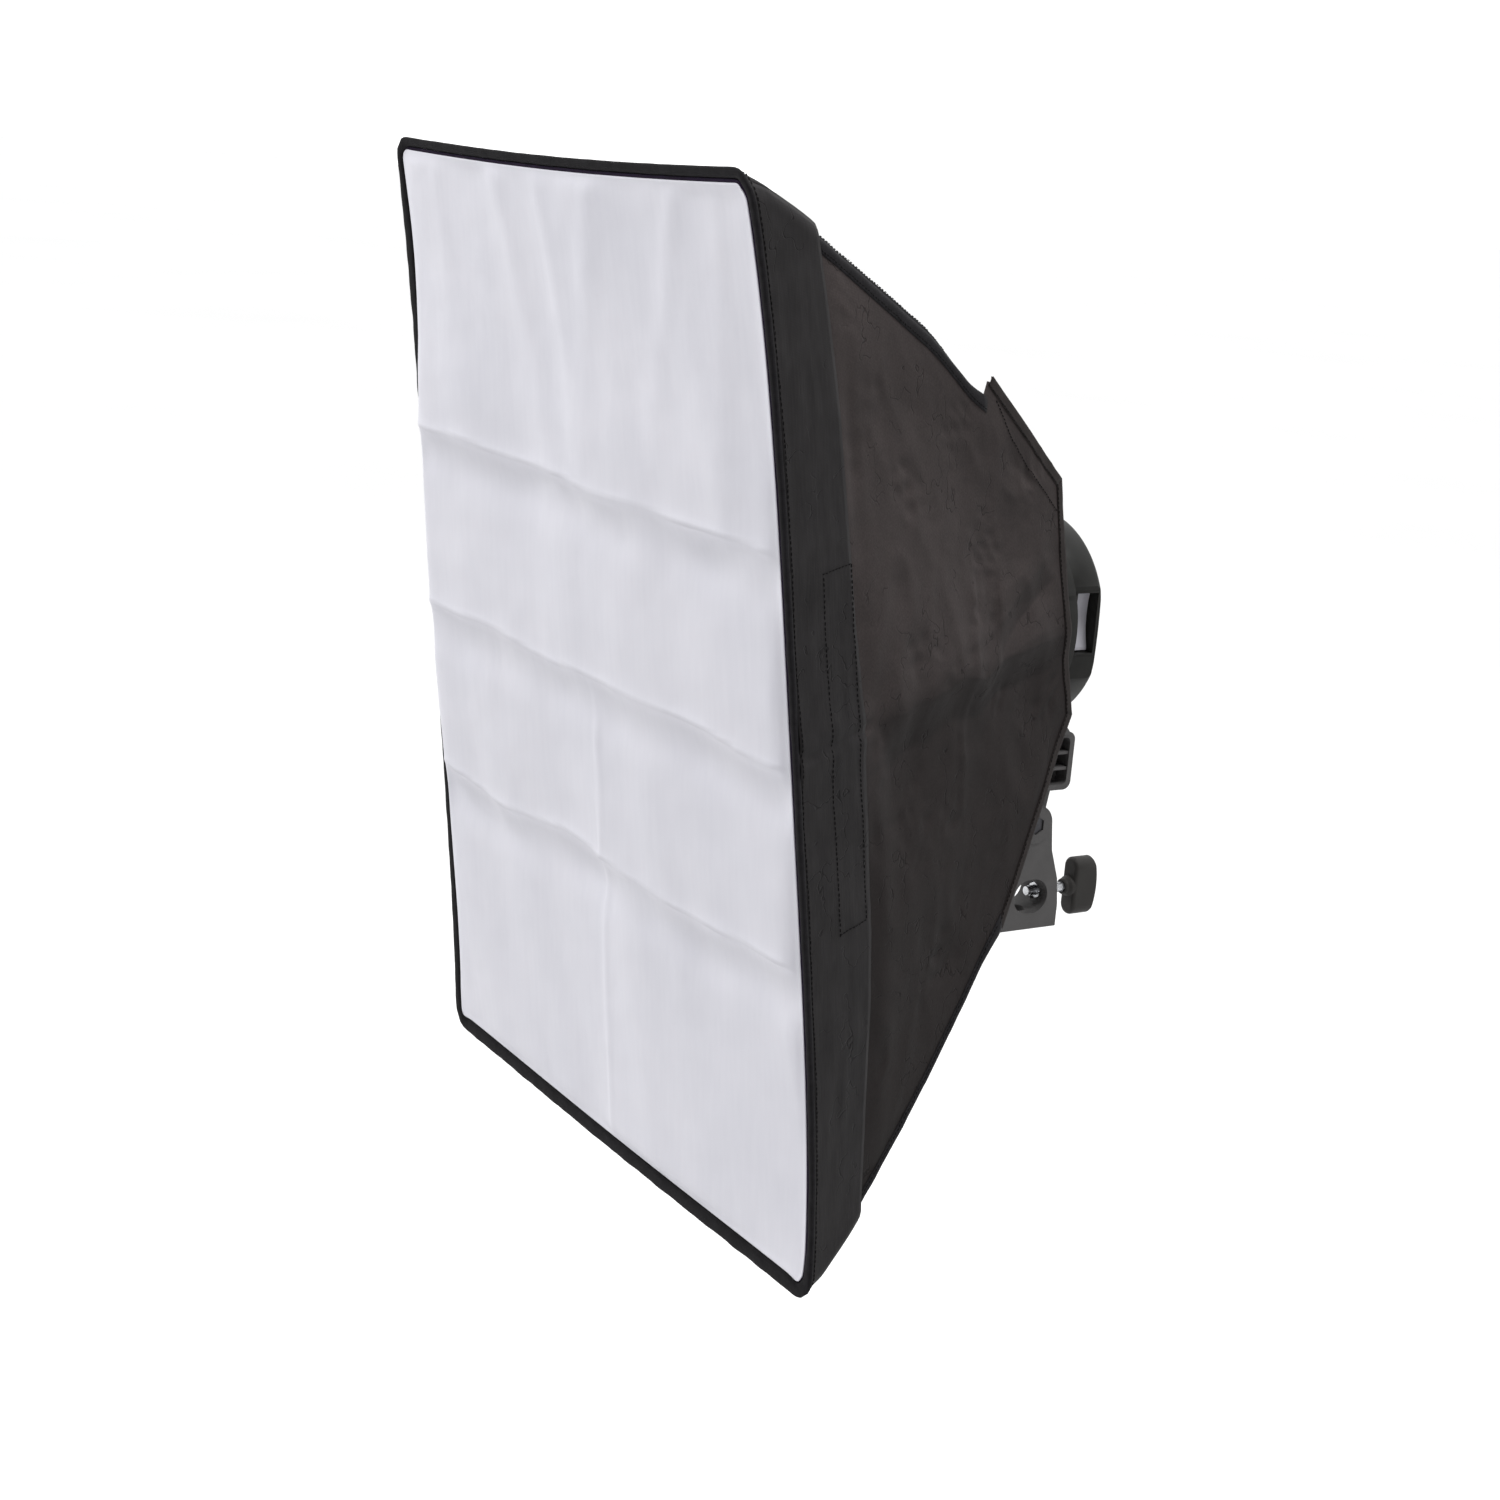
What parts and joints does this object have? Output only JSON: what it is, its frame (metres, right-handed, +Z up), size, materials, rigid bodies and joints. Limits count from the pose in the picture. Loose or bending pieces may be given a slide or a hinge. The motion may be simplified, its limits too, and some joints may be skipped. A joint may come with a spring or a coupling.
{
  "type": "softbox",
  "caption": "Rectangular fabric softbox with a white front diffuser on a tilting lamp head, with a light-stand bracket and thumb-screw clamp.",
  "frame": {"origin": "middle of the mouth of the stand socket, on the underside of the bracket", "axes": "+Z up along the stand, the lit front faces -Y, +X to the right seen from the front"},
  "size_m": [0.5, 0.5282, 0.695],
  "materials": {
    "band_cloth": "satin nylon, fine vertical wrinkles",
    "panel_cloth": "matt brown-black coated nylon, silver inside",
    "hem_cloth": "black binding tape",
    "diffuser_cloth": "white translucent polyester with fold creases",
    "tape": "hook-and-loop tape",
    "rod_steel": "spring rod, black",
    "rod_cap": "end cap",
    "head_plastic": "black moulded plastic, satin gloss",
    "arm_plastic": "dark grey glass-filled nylon",
    "knob_plastic": "dark grey plastic",
    "rocker_plastic": "light grey rocker",
    "zinc_steel": "zinc-plated fasteners",
    "black_steel": "black-oxide bolt",
    "holder_ceramic": "white lampholder",
    "lamp_white": "white ballast and coated glass tubes",
    "terminal": "natural nylon"
  },
  "bodies": {
    "bracket": {"stand_bracket": "arm_plastic", "clamp_nut": "zinc_steel", "tilt_bolt": "black_steel"},
    "head": {"arm_screws": "zinc_steel", "cover_screws": "zinc_steel", "tilt_arm": "arm_plastic", "cord_gland": "knob_plastic", "front_housing": "head_plastic", "rear_cover": "head_plastic", "socket_plate": "head_plastic", "switch_bezel_left": "head_plastic", "switch_bezel_right": "head_plastic", "rod_hub": "arm_plastic", "terminal_block": "terminal", "band_top": "band_cloth", "panel_top": "panel_cloth", "hem_top": "hem_cloth", "loop_strip_top": "tape", "band_bottom": "band_cloth", "panel_bottom": "panel_cloth", "hem_bottom": "hem_cloth", "loop_strip_bottom": "tape", "band_left": "band_cloth", "panel_left": "panel_cloth", "hem_left": "hem_cloth", "loop_strip_left": "tape", "band_right": "band_cloth", "panel_right": "panel_cloth", "hem_right": "hem_cloth", "loop_strip_right": "tape", "rod_top_left": "rod_steel", "rod_tip_top_left": "rod_cap", "rod_top_right": "rod_steel", "rod_tip_top_right": "rod_cap", "rod_bottom_left": "rod_steel", "rod_tip_bottom_left": "rod_cap", "rod_bottom_right": "rod_steel", "rod_tip_bottom_right": "rod_cap", "lampholder_1": "holder_ceramic", "lamp_1": "lamp_white", "lampholder_2": "holder_ceramic", "lamp_2": "lamp_white", "lampholder_3": "holder_ceramic", "lamp_3": "lamp_white", "lampholder_4": "holder_ceramic", "lamp_4": "lamp_white"},
    "clamp_pad": {"clamp_pad": "zinc_steel"},
    "clamp_thumbscrew": {"clamp_screw": "zinc_steel", "clamp_knob": "knob_plastic"},
    "tilt_washer": {"tilt_washer": "zinc_steel"},
    "tilt_hand_nut": {"tilt_knob": "knob_plastic", "tilt_insert": "zinc_steel"},
    "rocker_left": {"switch_rocker_left": "rocker_plastic"},
    "rocker_right": {"switch_rocker_right": "rocker_plastic"},
    "diffuser": {"diffuser": "diffuser_cloth", "hook_tabs": "tape"}
  },
  "joints": [
    {"name": "head_tilt", "type": "hinge", "parent": "bracket", "child": "head", "pos_m": [0, 0, 0.086], "axis": [1, 0, 0], "range_deg": [-45, 45]},
    {"name": "clamp_feed", "type": "slide", "parent": "bracket", "child": "clamp_pad", "axis": [0, 1, 0], "range_m": [-0.0025, 0.005]},
    {"name": "clamp_turn", "type": "hinge", "parent": "clamp_pad", "child": "clamp_thumbscrew", "pos_m": [0, 0.03, 0.026], "axis": [0, 1, 0], "range_deg": [-720, 1440]},
    {"name": "tilt_lock_feed", "type": "slide", "parent": "bracket", "child": "tilt_washer", "axis": [-1, 0, 0], "range_m": [0, 0.0025]},
    {"name": "tilt_lock_turn", "type": "hinge", "parent": "tilt_washer", "child": "tilt_hand_nut", "pos_m": [-0.03, 0, 0.086], "axis": [-1, 0, 0], "range_deg": [0, 720]},
    {"name": "rocker_left_press", "type": "hinge", "parent": "head", "child": "rocker_left", "pos_m": [-0.0604, -0.0215, 0.26], "axis": [0, -1, 0], "range_deg": [0, 8]},
    {"name": "rocker_right_press", "type": "hinge", "parent": "head", "child": "rocker_right", "pos_m": [0.0604, -0.0215, 0.26], "axis": [0, 1, 0], "range_deg": [0, 8]},
    {"name": "diffuser_release", "type": "slide", "parent": "head", "child": "diffuser", "axis": [0, -0.9914, -0.1305], "range_m": [0, 0.15]}
  ],
  "couplings": [
    {"joint": "clamp_feed", "follows": "clamp_turn", "m_per_rad": 0.00019894},
    {"joint": "tilt_lock_feed", "follows": "tilt_lock_turn", "m_per_rad": 0.00019894}
  ]
}
